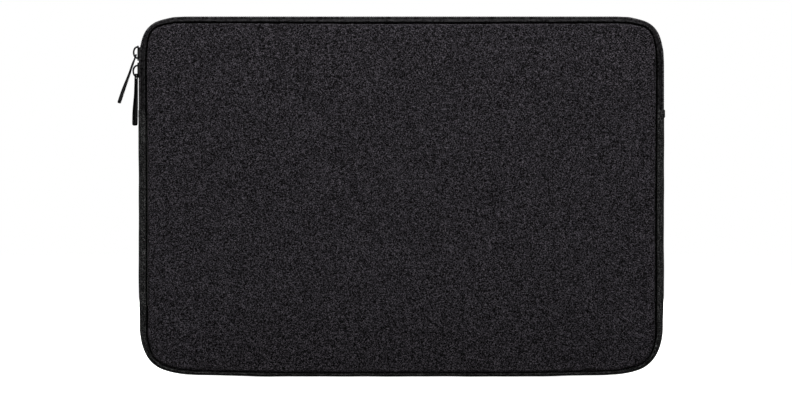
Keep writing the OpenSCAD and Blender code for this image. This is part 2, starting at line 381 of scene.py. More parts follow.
def tube(name, line, radius, sides, squash=1.0):
    """A tube along a line of points. squash is how thick it is beside how wide."""
    line = np.asarray(line, float)
    ahead = np.gradient(line, axis=0)
    ahead /= np.linalg.norm(ahead, axis=1)[:, None]
    up = np.zeros_like(line)
    up[:, 1] = 1.0
    along_y = np.abs(ahead[:, 1]) > 0.9
    up[along_y] = (1.0, 0.0, 0.3)
    side = np.cross(ahead, up)
    side /= np.linalg.norm(side, axis=1)[:, None]
    up = np.cross(side, ahead)
    angle = 2 * math.pi * np.arange(sides) / sides
    verts = (
        line[:, None]
        + radius * np.cos(angle)[None, :, None] * side[:, None]
        + radius * squash * np.sin(angle)[None, :, None] * up[:, None]
    )
    rows = len(line)
    faces = lattice(rows, sides, close_cols=True)
    faces += [list(range(sides)), list(range((rows - 1) * sides, rows * sides))]
    return outward(mesh_piece(name, verts.reshape(-1, 3), faces))


# ---- materials ----

# From metres to mm, for a vector
TO_MM = (1000, 1000, 1000)


class Nodes:
    """A short way to write a material's nodes."""

    def __init__(self, name, roughness, **sockets):
        self.mat = bpy.data.materials.new(name)
        self.mat.use_nodes = True
        self.tree = self.mat.node_tree
        self.bsdf = self.tree.nodes["Principled BSDF"]
        self.bsdf.inputs["Roughness"].default_value = roughness
        for key, value in sockets.items():
            self.bsdf.inputs[key.replace("_", " ").title().replace("Ior", "IOR")].default_value = value

    def add(self, kind, inputs=(), **settings):
        n = self.tree.nodes.new("ShaderNode" + kind)
        for key, value in settings.items():
            setattr(n, key, value)
        for key, value in dict(inputs).items():
            if isinstance(value, bpy.types.NodeSocket):
                self.tree.links.new(value, n.inputs[key])
            else:
                n.inputs[key].default_value = value
        return n

    def cloth_mm(self):
        """The point's place in the cloth, in mm."""
        at = self.add("Attribute", attribute_name="grain")
        return self.times(at.outputs["Vector"], TO_MM)

    def times(self, a, b):
        return self.add("VectorMath", {0: a, 1: b}, operation="MULTIPLY").outputs[0]

    def plus(self, a, b):
        return self.add("VectorMath", {0: a, 1: b}, operation="ADD").outputs[0]

    def maths(self, operation, a, b):
        return self.add("Math", {0: a, 1: b}, operation=operation).outputs[0]

    def noise(self, vector, scale, detail, roughness=0.5):
        n = self.add("TexNoise", {"Vector": vector, "Scale": scale, "Detail": detail, "Roughness": roughness})
        return n.outputs["Fac"], n.outputs["Color"]

    def stretch(self, value, low, high, out_low, out_high):
        """The value, with the range from low to high put onto the range from out_low to out_high."""
        n = self.add("MapRange", {0: value, 1: low, 2: high, 3: out_low, 4: out_high})
        return n.outputs[0]

    def ramp(self, value, stops):
        """A colour for the value, between stops of (place, colour)."""
        n = self.add("ValToRGB", {"Fac": value})
        e = n.color_ramp.elements
        while len(e) < len(stops):
            e.new(0.5)
        for k, (at, colour) in enumerate(stops):
            e[k].position = at
            e[k].color = (*colour, 1)
        return n.outputs["Color"]

    def paint(self, colour):
        self.tree.links.new(colour, self.bsdf.inputs["Base Color"])

    def rough(self, value):
        self.tree.links.new(value, self.bsdf.inputs["Roughness"])

    def bump(self, height, mm, strength):
        b = self.add("Bump", {"Strength": strength, "Distance": mm * MM, "Height": height})
        self.tree.links.new(b.outputs[0], self.bsdf.inputs["Normal"])


# The yarns from the darkest to the lightest: where each stands among the cells, and its tone beside the level
YARN_TONES = [(0.0, 0.04), (0.3, 0.1), (0.5, 0.28), (0.68, 1.1), (0.86, 2.6), (1.0, 5.5)]


def heather(name, tint, level, cell, depth_mm):
    """Charcoal cloth of mixed light and dark yarns, each cell mm across."""
    n = Nodes(name, 0.93, sheen_weight=0.03, sheen_roughness=0.5, specular_ior_level=0.05)
    mm = n.cloth_mm()
    _, shift = n.noise(mm, 0.9, 1.0)
    moved = n.plus(mm, n.times(n.plus(shift, (-0.5, -0.5, -0.5)), (0.7, 0.7, 0.7)))
    cells = n.add("TexVoronoi", {"Vector": moved, "Scale": 1 / cell})
    pick = n.add("SeparateColor", {"Color": cells.outputs["Color"]})
    yarn = n.ramp(pick.outputs[0], [(at, tuple(level * tone * t for t in tint)) for at, tone in YARN_TONES])
    patches, _ = n.noise(mm, 0.035, 3.0, 0.6)
    fine, _ = n.noise(mm, 3.1, 2.0)
    both = n.maths("MULTIPLY", n.stretch(patches, 0.3, 0.7, 0.94, 1.06), n.stretch(fine, 0.3, 0.7, 0.8, 1.2))
    n.paint(n.times(yarn, both))
    height = n.maths("ADD", n.maths("MULTIPLY", cells.outputs["Distance"], -0.8), fine)
    n.bump(height, depth_mm, 0.8)
    n.rough(n.stretch(pick.outputs[1], 0, 1, 0.85, 0.97))
    return n.mat


def woven(name, colour, across, along, depth_mm, shine):
    """Narrow woven tape: ribs along it, one every across mm, and picks across it, one every along mm."""
    n = Nodes(name, 0.85, sheen_weight=0.4 * shine, specular_ior_level=shine)
    mm = n.cloth_mm()
    ribs = {"Vector": mm, "Scale": 1 / across, "Distortion": 0.6, "Detail Scale": 1.5}
    ribs = n.add("TexWave", ribs, bands_direction="Y").outputs["Fac"]
    picks = {"Vector": mm, "Scale": 1 / along, "Distortion": 0.8, "Detail Scale": 2.0}
    picks = n.add("TexWave", picks, bands_direction="X").outputs["Fac"]
    weave = n.maths("MULTIPLY", ribs, picks)
    yarns = n.add("TexVoronoi", {"Vector": n.times(mm, (1.0, 0.4, 1.0)), "Scale": 1.0})
    flecks = n.add("SeparateColor", {"Color": yarns.outputs["Color"]}).outputs[0]
    patches, _ = n.noise(mm, 0.08, 2.0)
    shade = n.maths("MULTIPLY", n.stretch(flecks, 0, 1, 0.1, 1.9), n.stretch(patches, 0.3, 0.7, 0.92, 1.08))
    shade = n.maths("MULTIPLY", shade, n.stretch(weave, 0, 1, 0.8, 1.15))
    n.paint(n.times(shade, colour))
    n.bump(weave, depth_mm, 0.7)
    n.rough(n.stretch(flecks, 0, 1, 0.78, 0.92))
    return n.mat


def plush(name, colour):
    """Short soft pile."""
    n = Nodes(name, 0.95, sheen_weight=0.5, sheen_roughness=0.4, specular_ior_level=0.1)
    mm = n.cloth_mm()
    pile, _ = n.noise(mm, 1.6, 3.0, 0.7)
    tracks, _ = n.noise(n.times(mm, (1, 1, 0.4)), 0.05, 2.0)
    tufts, _ = n.noise(mm, 0.45, 2.0)
    shade = n.maths("MULTIPLY", n.stretch(pile, 0.3, 0.7, 0.5, 1.5), n.stretch(tracks, 0.4, 0.6, 0.84, 1.16))
    shade = n.maths("MULTIPLY", shade, n.stretch(tufts, 0.35, 0.65, 0.65, 1.35))
    n.paint(n.times(shade, colour))
    n.bump(pile, 0.5, 0.7)
    n.rough(n.stretch(pile, 0.3, 0.7, 0.9, 1.0))
    return n.mat


def nylon(name, colour, roughness):
    """Moulded or drawn nylon, as in a coil or a thread."""
    n = Nodes(name, roughness, specular_ior_level=0.2)
    mm = n.cloth_mm()
    streak, _ = n.noise(n.times(mm, (2.5, 2.5, 2.5)), 1.0, 2.0)
    n.paint(n.times(n.stretch(streak, 0.3, 0.7, 0.75, 1.25), colour))
    n.rough(n.stretch(streak, 0.3, 0.7, roughness - 0.06, roughness + 0.08))
    n.bump(streak, 0.03, 0.4)
    return n.mat


def enamel(name, colour, roughness, worn):
    """Black enamelled metal, rubbed lighter on its edges by as much as worn says."""
    n = Nodes(name, roughness, specular_ior_level=0.1)
    mm = n.times(n.add("TexCoord").outputs["Object"], TO_MM)
    grain, _ = n.noise(mm, 2.2, 3.0)
    wear, _ = n.noise(mm, 0.35, 3.0, 0.6)
    pointed = n.add("NewGeometry").outputs["Pointiness"]
    rub = n.maths("MULTIPLY", n.stretch(pointed, 0.52, 0.6, 0, 1), n.stretch(wear, 0.4, 0.65, 0, worn))
    shade = n.maths("ADD", n.stretch(grain, 0.3, 0.7, 0.85, 1.15), rub)
    n.paint(n.times(shade, colour))
    n.rough(n.stretch(grain, 0.3, 0.7, roughness - 0.05, roughness + 0.08))
    n.bump(grain, 0.02, 0.3)
    return n.mat


SHELL = heather("shell_cloth", (1.03, 0.93, 1.08), level=0.0199, cell=0.5, depth_mm=0.2)
BAND = heather("band_cloth", (1.0, 1.0, 1.0), level=0.021, cell=0.56, depth_mm=0.2)
TAPE = woven("zip_tape", (0.0215, 0.0207, 0.0219), across=3.2, along=2.2, depth_mm=0.12, shine=0.0)
# Twice as light as the tape: painted light that makes up for the shade between the coil's turns
CORD_PAINTED_LIGHT = woven("coil_cord", (0.044, 0.0425, 0.0446), across=0.9, along=0.7, depth_mm=0.1, shine=0.0)
BINDING = woven("binding_tape", (0.008, 0.008, 0.0082), across=2.6, along=2.0, depth_mm=0.15, shine=0.08)
# Near-black: painted shade for the groove walls and for the strip at the bottom of each groove
GROOVE_SHADE = woven("seam_painted_shade", (0.0006, 0.0006, 0.0006), across=2.6, along=2.0, depth_mm=0.1, shine=0.0)
# Black thread painted darker than the other black thread, as shade down in the groove
SEAM_THREAD_SHADED = nylon("seam_thread_painted_shade", (0.003, 0.003, 0.003), 0.7)
PLUSH = plush("plush_lining", (0.012, 0.012, 0.0125))
COIL = nylon("coil_nylon", (0.015, 0.015, 0.015), 0.5)
THREAD = nylon("black_thread", (0.008, 0.008, 0.0082), 0.6)
METAL = enamel("black_enamel", (0.002, 0.002, 0.0021), 0.36, worn=0.6)
PULL = enamel("black_pull_enamel", (0.002, 0.002, 0.0021), 0.4, worn=0.6)


def finish_piece(obj, mat, nodes, body=None):
    """Material, slot and CAD nodes of a piece. It rides on body, or has its place baked into its mesh if body
    is None.
    """
    obj.data.materials.clear()
    obj.data.materials.append(mat)
    if nodes:
        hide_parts(*nodes)
    if body is None:
        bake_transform(obj)
    else:
        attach(obj, body)
    return obj


# ---- padded panels ----

# The cloth sheet that is blown up: its grid, how far inside the outline it is sewn down, and its frames
SHEET_COLS, SHEET_ROWS = 91, 63
SEWN_IN = 8
LAST_FRAME = 20


def simulated_crown():
    """How far air lifts a cloth sheet that is sewn down at the panel's seam: columns, rows and heights."""
    cols = np.linspace(-HALF_W, HALF_W, SHEET_COLS)
    rows = np.linspace(0, HEIGHT, SHEET_ROWS)
    x, z = (g.ravel() for g in np.meshgrid(cols, rows))
    inside = depth(x, z) - SEWN_IN
    # It starts a little uneven, so that the crown isn't quite regular
    start = 0.15 * np.sin(x / 23 + 1) * np.sin(z / 19)
    sheet = mesh_piece("crown_sheet", np.stack([x, -start, z], -1), lattice(len(rows), len(cols)))
    pins = sheet.vertex_groups.new(name="pins")
    pins.add([int(i) for i in np.flatnonzero(inside < 1)], 1.0, "REPLACE")
    mod = sheet.modifiers.new("cloth", "CLOTH")
    mod.settings.quality = 6
    mod.settings.mass = 0.3
    mod.settings.tension_stiffness = mod.settings.compression_stiffness = 25
    mod.settings.bending_stiffness = 2.0
    mod.settings.use_pressure = True
    mod.settings.uniform_pressure_force = 4.0
    mod.settings.vertex_group_mass = "pins"
    mod.settings.effector_weights.gravity = 0
    mod.collision_settings.use_collision = False
    mod.point_cache.frame_start, mod.point_cache.frame_end = 1, LAST_FRAME
    for f in range(1, LAST_FRAME + 1):
        scene.frame_set(f)
    done = sheet.evaluated_get(bpy.context.evaluated_depsgraph_get()).to_mesh()
    co = np.zeros(len(done.vertices) * 3)
    done.vertices.foreach_get("co", co)
    scene.frame_set(1)
    bpy.data.objects.remove(sheet)
    lifted = CROWN * np.tanh(np.abs(co.reshape(-1, 3)[:, 1] / MM) / CROWN)
    return cols, rows, lifted.reshape(len(rows), len(cols))


CROWN_X, CROWN_Z, CROWN_H = simulated_crown()


def crown(x, z):
    """The simulated lift at any point, between the grid's own."""
    u = np.clip((x - CROWN_X[0]) / (CROWN_X[1] - CROWN_X[0]), 0, len(CROWN_X) - 1.001)
    v = np.clip((z - CROWN_Z[0]) / (CROWN_Z[1] - CROWN_Z[0]), 0, len(CROWN_Z) - 1.001)
    i, j = u.astype(int), v.astype(int)
    a, b = u - i, v - j
    low = CROWN_H[j, i] * (1 - a) + CROWN_H[j, i + 1] * a
    high = CROWN_H[j + 1, i] * (1 - a) + CROWN_H[j + 1, i + 1] * a
    return low * (1 - b) + high * b


def ripple(x, z, seed):
    """Slight unevenness of the foam under the cloth."""
    return 0.10 * np.sin(x / 31 + seed) * np.sin(z / 27 + 2 * seed) + 0.06 * np.sin(x / 13 - z / 17 + seed)


RING_COUNT = 924
RING_S = np.arange(RING_COUNT) * LOOP / RING_COUNT
# Inner points of a layer's seen face, and of its hidden one
FINE = grid_points(4.6, 21.5)
COARSE = grid_points(11.0, 12.0)
# A panel's edge is tucked in this far past the seam, at this distance from the middle of the sleeve
TUCK, TUCK_Y = 1.6, 9.15
# How far in from the seam the rings of a panel's face lie, past the roll
FACE_RINGS = (2.7, 3.8, 5.3, 7.2, 9.4, 12)
# The roll starts this much further in beside the sides, the top and the bottom
BACK_SIDE, BACK_TOP, BACK_BOTTOM = 0.6, 0.8, 0.25
# The seam's puckers move the cloth in and up by this much beside it
PUCKER_IN, PUCKER_UP = 0.14, 0.16
# A face is in the groove when it is this far below the panel's face and this near to the outline
GROOVE_DOWN, GROOVE_IN = 1.5, 9


def paint_groove_shade(obj, chosen):
    """Gives the faces whose middles are chosen the near-black groove material: painted shade where the
    panel's edge rolls down into the seam.
    """
    obj.data.materials.append(GROOVE_SHADE)
    middles = np.zeros(len(obj.data.polygons) * 3)
    obj.data.polygons.foreach_get("center", middles)
    middles = middles.reshape(-1, 3) / MM
    obj.data.polygons.foreach_set("material_index", chosen(middles).astype(np.int32))


def panel(name, side, seed):
    """One padded face: its edge rolls down into the seam, and its middle is crowned by the simulation."""

    def full(x, z):
        return side * (face_y(z) + crown(x, z) + ripple(x, z, seed))

    x0, z0, nx, nz = outline(RING_S)
    seam = seam_inset(RING_S)
    pucker = wave(RING_S, (5.9, 8.3, 13.1, 22.7), seed)
    tuck = seam + TUCK
    rings = [np.stack([x0 - nx * tuck, z0 - nz * tuck, side * (TUCK_Y + 0 * x0)], -1)]
    angles = np.linspace(0, QUARTER, 8)
    rolled = [(ROLL_IN * (1 - math.cos(a)), ROLL_DEEP * (math.sin(a) - 1)) for a in angles]
    back_off = BACK_SIDE * nx**2 + np.where(nz > 0, BACK_TOP, BACK_BOTTOM) * nz**2
    for t, h in rolled + [(t, 0) for t in FACE_RINGS]:
        t_here = t + back_off + PUCKER_IN * pucker * math.exp(-t / 2)
        x, z = x0 - nx * (seam + t_here), z0 - nz * (seam + t_here)
        lift = crown(x, z) + ripple(x, z, seed) * ease(t / 12)
        y = face_y(z) + h + lift + PUCKER_UP * pucker * math.exp(-t / 4.5) * ease(t / 1.2)
        rings.append(np.stack([x, z, side * y], -1))
    return layered(name, rings, COARSE, FINE, full)


def in_groove(p):
    """The rolled edge below the panel's face, where it turns down into the seam."""
    return (np.abs(p[:, 1]) < face_y(p[:, 2]) - GROOVE_DOWN) & (depth(p[:, 0], p[:, 2]) < GROOVE_IN)


front_panel = panel("front_panel", -1, 0.4)
finish_piece(
    front_panel,
    SHELL,
    ["front_shell_lower", "front_shell_flap", "front_foam_lower", "front_foam_flap"],
)
# The rolled edge down in the groove gets painted shade
paint_groove_shade(front_panel, in_groove)
back_panel = panel("back_panel", 1, 2.1)
finish_piece(back_panel, SHELL, ["back_shell", "back_foam"], "sleeve")
# The rolled edge down in the groove gets painted shade
paint_groove_shade(back_panel, in_groove)

# ---- linings and their binding ----

# The lining's pile stands this far from the middle of the sleeve
PILE_Y = 8.2
# The rounded edge of a lining, as inset and distance from the middle of the sleeve
LINING_EDGE = [(7.4, 9.0), (7.0, 8.85), (6.9, 8.55), (7.1, 8.3), (7.6, PILE_Y)]


def lining(name, side):
    """The plush inside of one panel."""

    def pile(x, z):
        return side * (PILE_Y + 0.05 * np.sin(x / 9) * np.sin(z / 7))

    x0, z0, nx, nz = outline(RING_S)
    rings = []
    for inset, y in LINING_EDGE:
        rings.append(np.stack([x0 - nx * inset, z0 - nz * inset, side * y + 0 * x0], -1))
    return layered(name, rings, COARSE, grid_points(6.0, 10.5), pile)


for side, name, nodes, body, beneath in (
    (-1, "front_lining", ["front_lining_lower", "front_lining_flap"], None, "front_panel"),
    (1, "back_lining", ["back_lining"], "sleeve", "back_panel"),
):
    made = lining(name + "_pile", side)
    finish_piece(made, PLUSH, nodes, body)


def binding_section(side):
    """A narrow rounded tape along the edge of a lining, with fine ribs."""
    inset = np.array([7.0, 6.95, 7.1, 7.6, 8.0, 8.2, 8.4, 8.8, 9.3, 9.45, 9.4])
    y = np.array([8.2, 7.95, 7.72, 7.6, 7.56, 7.6, 7.56, 7.6, 7.72, 7.95, 8.2])
    return lambda s: (
        np.tile(inset, (len(s), 1)) + 0.06 * wave(s, (11, 17, 29))[:, None],
        np.tile(side * y, (len(s), 1)),
    )


# A stitch in a row takes up this share of the row's pitch, and its thread has this radius
STITCH_SHARE, STITCH_RADIUS = 0.72, 0.2


def row_of_stitches(name, s0, s1, pitch, inset, y, out):
    """Stitches along the outline. out is how far the cloth faces out from the outline and along y."""
    s = np.arange(s0, s1 - pitch, pitch)
    _, _, nx, nz = outline(s + pitch / 2)
    outs = np.stack([nx * out[0], out[1] + 0 * nx, nz * out[0]], -1)
    return stitches(name, place(s, inset, y), place(s + pitch * STITCH_SHARE, inset, y), outs, STITCH_RADIUS)


for side, name, nodes, body in (
    (-1, "front_binding", ["front_binding_lower", "front_binding_flap"], None),
    (1, "back_binding", ["back_binding"], "sleeve"),
):
    made = sweep(name + "_tape", RING_S, binding_section(side), closed=True, woven_along=True)
    finish_piece(made, BINDING, nodes, body)
    made = row_of_stitches(name + "_stitches", 0, LOOP, pitch=3.2, inset=9.0, y=side * 7.62, out=(0, -side))
    finish_piece(made, THREAD, (), body)

# ---- the seam at the bottom of each groove ----

SEAM_STITCHES = 404
# The seam strip, and the stitches on it, lie this far below the seam's own height
STRIP_DOWN, STRIP_STITCH_DOWN = 2.3, 2.25


def seam_section(side):
    """A flat tape under the groove, with two ribs, coloured near-black as painted shade."""
    across = np.array([-1.5, -0.7, 0.0, 0.7, 1.5, 1.5, 0.0, -1.5])
    down = np.array([0.0, 0.12, 0.0, 0.12, 0.0, 0.7, 0.8, 0.7])
    return lambda s: (seam_inset(s)[:, None] + across, side * (seam_y(s)[:, None] - STRIP_DOWN - down))


for side, name, body in ((-1, "front_seam", None), (1, "back_seam", "sleeve")):
    made = sweep(name + "_strip", RING_S, seam_section(side), closed=True, woven_along=True)
    # The strip is coloured near-black as painted shade
    finish_piece(made, GROOVE_SHADE, (), body)
    pitch = LOOP / SEAM_STITCHES
    s = np.arange(SEAM_STITCHES) * pitch
    inset, y = seam_inset(s), side * (seam_y(s) - STRIP_STITCH_DOWN)
    outs = np.tile((0.0, side, 0.0), (len(s), 1))
    starts, ends = place(s, inset, y), place(s + 0.75 * pitch, inset, y)
    made = stitches(name + "_stitches", starts, ends, outs, STITCH_RADIUS)
    # The groove's stitches get the darker thread: painted shade
    finish_piece(made, SEAM_THREAD_SHADED, (), body)

# ---- edge band ----

# The band's outside, from the front seam to its middle line: share of the seam's distance from the middle
# of the sleeve, share of the seam's inset
BAND_OUTER = [
    (-0.74, 0.86), (-0.84, 0.885), (-0.92, 0.88), (-0.975, 0.85), (-1.005, 0.79), (-1.0, 0.71), (-0.97, 0.59),
    (-0.90, 0.43), (-0.81, 0.27), (-0.69, 0.14), (-0.55, 0.06), (-0.38, 0.02), (-0.19, 0.004), (0.0, 0.0),
]
# Its inside, and the two faces of its lining, up to the middle line: share of that distance, inset in mm
BAND_INNER = [(0.70, 6.3), (0.62, 5.0), (0.50, 4.1), (0.34, 3.65), (0.15, 3.5), (0.0, 3.45)]
BAND_LINING_OUTER = [(0.69, 6.5), (0.60, 5.25), (0.49, 4.4), (0.33, 3.95), (0.15, 3.8), (0.0, 3.75)]
BAND_LINING_INNER = [(-0.60, 6.9), (-0.53, 5.75), (-0.43, 5.1), (-0.30, 4.7), (-0.14, 4.55), (0, 4.5)]
# The hem at each end: where its step is, how long that is, and how proud it stands on the right and the left
HEM_AT, HEM_STEP = 6.4, 0.7
HEM_RIGHT, HEM_LEFT = 0.62, 0.12
# The rounding of the cut end: over what length, and how deep
END_LEN, END_DEEP = 0.9, 1.1
# How much the band bulges along the bottom, puckers beside the seams and waves between them
BOTTOM_BULGE, BAND_PUCKER, BAND_WAVE = 0.9, 0.16, 0.10


def mirrored(half):
    """A whole cross-section as two arrays, from one half that ends on the middle line."""
    whole = half + [(-share, inset) for share, inset in half[-2::-1]]
    return np.array([share for share, _ in whole]), np.array([inset for _, inset in whole])


def band_section(s):
    """The puffed band between the two seams, with its folded ends standing proud at the zip."""
    share, drop = mirrored(BAND_OUTER)
    half = seam_y(s)[:, None]
    _, _, _, nz = outline(s)
    y = half * share * (1 + BOTTOM_BULGE * np.clip(-nz, 0, 1)[:, None] ** 2 * drop * (1 - drop))
    inset = seam_inset(s)[:, None] * drop
    to_end = np.minimum(s - ZIP_LEN, LOOP - s)[:, None]
    hem = ease((HEM_AT - to_end) / HEM_STEP)
    across = 1 - ease((np.abs(share) - 0.80) / 0.12)
    inset = inset - np.where(s > (ZIP_LEN + LOOP) / 2, HEM_LEFT, HEM_RIGHT)[:, None] * hem * across
    rounding = 1 - np.sqrt(np.clip(1 - (1 - np.clip(to_end / END_LEN, 0, 1)) ** 2, 0, 1))
    inset = inset + END_DEEP * rounding * (1 - ease((np.abs(share) - 0.7) / 0.25))
    near_seam = np.exp(-(((np.abs(share) - 0.97) / 0.10) ** 2))
    inset = inset + BAND_PUCKER * near_seam * wave(s, (6.1, 9.7, 15.3))[:, None] * np.sign(drop - 0.5)
    inset = inset + BAND_WAVE * (1 - share**2) * wave(s, (31, 53, 87), 1.3)[:, None] * ease(to_end / 20)
    inner_share, inner_inset = mirrored(BAND_INNER)
    return np.hstack([inset, np.tile(inner_inset, (len(s), 1))]), np.hstack([y, half * inner_share])


# Rings crowd together at the ends, where the hem is
near_end = np.array([0.12, 0.2, 0.35, 0.6, 1.0, 2.0, 3.2, 4.4, 5.4, 5.7, 5.9, 6.1, 6.3, 6.6, 7.2])
between = np.arange(ZIP_LEN + 8.4, LOOP - 8.4, 1.5)
band_s = np.concatenate([ZIP_LEN + near_end, between, (LOOP - near_end)[::-1]])
band = sweep("edge_band", band_s, band_section)
finish_piece(band, BAND, ["gusset_shell", "gusset_foam"], "sleeve")


def band_lining_section(s):
    """The plush inside of the band: round its outer face and back along its inner one."""
    share, inset = np.hstack([mirrored(BAND_LINING_OUTER), mirrored(BAND_LINING_INNER)])
    return np.tile(inset, (len(s), 1)), seam_y(s)[:, None] * share


made = sweep("edge_lining_pile", np.arange(ZIP_LEN + 0.4, LOOP - 0.3, 3.0), band_lining_section)
finish_piece(made, PLUSH, ["gusset_lining"], "sleeve")

# Stitches that hold the hems: this far from the end, and this long
HEM_STITCH_AT, HEM_STITCH_LEN = 4.9, 1.3
for end, s_at, proud in (("right", ZIP_LEN + HEM_STITCH_AT, 0.60), ("left", LOOP - HEM_STITCH_AT, 0.10)):
    y = np.arange(-6.6, 6.7, 1.9)
    s = np.full(len(y), s_at)
    _, _, nx, nz = outline(s)
    inset = -proud + 0.13 * (np.abs(y) / 4) ** 2
    outs = np.stack([nx, 0 * nx, nz], -1)
    starts, ends = place(s, inset, y), place(s, inset, y + HEM_STITCH_LEN)
    made = stitches(f"fold_stitches_{end}", starts, ends, outs, 0.18)
    finish_piece(made, THREAD, (), "sleeve")

# ---- zip ----

# Halfway between the sliders, how far to either side of that the zip is fully parted, and where it closes
PART_MIDDLE = (UPPER_Z + LOWER_Z) / 2 - ZIP_Z
PART_HALF, PART_FADE = 3.2, 3.6
# The tape's flat part, under the coil: its start from the sleeve's middle, its width and its inset
TAPE_START, TAPE_FLAT, TAPE_INSET = 1.2, 2.2, 2.1
# The points across the tape, of which this share is on the flat part, and its thickness
TAPE_POINTS, FLAT_SHARE, TAPE_THICK = 15, 0.25, 0.25
# One turn of the coil: its length along the zip, its number of points, and the radius of its wire
PITCH, TURN_POINTS, COIL_WIRE_R = 1.45, 13, 0.33
# The middle and half the size of the coil and of its cord: inset, distance from the sleeve's middle
COIL_MIDDLE, COIL_HALF = (1.12, 1.33), (0.56, 1.14)
CORD_MIDDLE, CORD_HALF = (1.1, 1.98), (0.9, 0.85)


def parting(s):
    """How far each half of the zip is drawn aside between the two sliders, up to 1 mm."""
    return 1 - ease((np.abs(s - PART_MIDDLE) - PART_HALF) / PART_FADE)


def tape_section(side):
    """Zip tape from the coil's base out to the seam, with woven ribs."""

    def section(s):
        t = np.linspace(0, 1, TAPE_POINTS)
        seam, reach = seam_inset(s)[:, None] - 1.0, seam_y(s)[:, None] - 0.9
        flat = np.clip(t / FLAT_SHARE, 0, 1)
        rise = np.clip((t - FLAT_SHARE) / (1 - FLAT_SHARE), 0, 1)
        y = TAPE_START + TAPE_FLAT * flat + (reach - (TAPE_START + TAPE_FLAT)) * rise**0.92
        inset = TAPE_INSET + (seam - TAPE_INSET) * rise**1.15
        ribs = 0.07 * np.cos(t * (TAPE_POINTS - 1) * math.pi) * (rise > 0)
        inset = inset - ribs + 0.05 * wave(s, (9, 23, 41), side)[:, None] * rise
        under_y = y[:, ::-1] - TAPE_THICK
        under_inset = inset[:, ::-1] + 0.62
        return np.hstack([inset, under_inset]), side * np.hstack([y, under_y])

    return section


def coil(name, side, s0, s1, lag):
    """Half of the zip: a flattened spiral whose heads reach across the middle. lag is a share of a turn."""
    turns = (s1 - s0) / PITCH
    phase = np.linspace(0, 2 * math.pi * turns, int(turns * TURN_POINTS))
    s = s0 + phase / (2 * math.pi) * PITCH + lag * PITCH
    inset = COIL_MIDDLE[0] - COIL_HALF[0] * np.sin(phase)
    y = COIL_MIDDLE[1] - COIL_HALF[1] * np.cos(phase) + parting(s)
    s = s + 0.16 * np.sin(2 * phase)
    return tube(name, place(s, inset, side * y), COIL_WIRE_R, sides=5)


def cord_section(side):
    """The cord that the coil is wound around."""
    a = np.linspace(0, 2 * math.pi, 12, endpoint=False)
    inset, y = CORD_MIDDLE[0] + CORD_HALF[0] * np.cos(a), CORD_HALF[1] * np.sin(a)
    return lambda s: (np.tile(inset, (len(s), 1)), side * (CORD_MIDDLE[1] + parting(s)[:, None] + y))


# tail is how far each half runs on past the zip's ends
for side, which, body, tail, lag in ((-1, "front", None, 9.0, 0.0), (1, "back", "sleeve", 2.5, 0.5)):
    s = np.arange(-tail, ZIP_LEN + tail + 0.1, 1.5)
    made = sweep(f"{which}_tape_weave", s, tape_section(side), woven_along=True)
    finish_piece(made, TAPE, [f"{which}_tape"], body)
    s = np.arange(-tail + 0.5, ZIP_LEN + tail - 0.4, 1.5)
    made = sweep(f"{which}_coil_cord", s, cord_section(side), woven_along=True)
    # The cord's lighter colour is painted light
    finish_piece(made, CORD_PAINTED_LIGHT, (), body)
    made = coil(f"{which}_coil_spiral", side, -tail + 1, ZIP_LEN + tail - 1, lag)
    finish_piece(made, COIL, [f"{which}_coil"], body)
    s = np.arange(0.6, ZIP_LEN - 1, PITCH)
    _, _, nx, nz = outline(s)
    outs = np.stack([nx, 0 * nx, nz], -1)
    y = side * (2.1 + parting(s))
    starts, ends = place(s, 0.36, y), place(s + 1.3, 0.36, y)
    made = stitches(f"{which}_coil_thread", starts, ends, outs, 0.17, lift=0.1)
    finish_piece(made, THREAD, (), body)
    facing = {"pitch": 3.0, "inset": 3.9, "y": side * 7.75, "out": (0.92, side * 0.39)}
    made = row_of_stitches(f"{which}_tape_stitches", 1.0, ZIP_LEN - 0.5, **facing)
    finish_piece(made, THREAD, (), body)

# ---- sliders, bails and pull tabs ----

# How far the edges of the sliders are rounded
EDGE_ROUND = 0.22


def dressed(node, mat):
    """A material and rounded edges for a CAD node that stays as it is."""
    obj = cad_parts[node]
    weld = obj.modifiers.new("weld", "WELD")
    weld.merge_threshold = 0.01 * MM
    bevel = obj.modifiers.new("bevel", "BEVEL")
    bevel.width, bevel.segments = EDGE_ROUND * MM, 3
    bevel.limit_method, bevel.angle_limit = "ANGLE", math.radians(35)
    bevel.harden_normals = False
    obj.data.polygons.foreach_set("use_smooth", [True] * len(obj.data.polygons))
    obj.data.materials.clear()
    obj.data.materials.append(mat)


for node in ("upper_slider", "lower_slider"):
    dressed(node, METAL)

# The bails' wire: its radius and how flat it is
BAIL_WIRE_R, BAIL_SQUASH = 0.7, 1.4
# How far inside the outline their feet are, and how square their bow is, where 1 is round
BAIL_FEET, BAIL_BOW = 0.3, 0.72


def bail(name, node, body, centre_z, half_len, reach):
    """A bowed bar of flattened wire, with its feet in the slider's plate."""
    a = np.linspace(-QUARTER, QUARTER, 41)
    x = -HALF_W + BAIL_FEET - reach * np.cos(a) ** BAIL_BOW
    line = np.stack([x, 0 * a, centre_z + half_len * np.sin(a)], -1)
    made = tube(name, line, BAIL_WIRE_R, sides=12, squash=BAIL_SQUASH)
    finish_piece(made, METAL, [node], body)


bail("upper_bail_bow", "upper_bail", "upper_slider", UPPER_Z + 0.5, half_len=4.35, reach=3.98)
bail("lower_bail_bow", "lower_bail", "lower_slider", LOWER_Z - 0.8, half_len=4.4, reach=4.3)

# A tab's length, and where it hangs
PULL_LEN, PIVOT_X = 39.0, -HALF_W - 1.9
# The hole at a tab's tip: its radius, and how far along the tab it is
TIP_HOLE_R, TIP_HOLE_AT = 1.1, PULL_LEN - 3.4
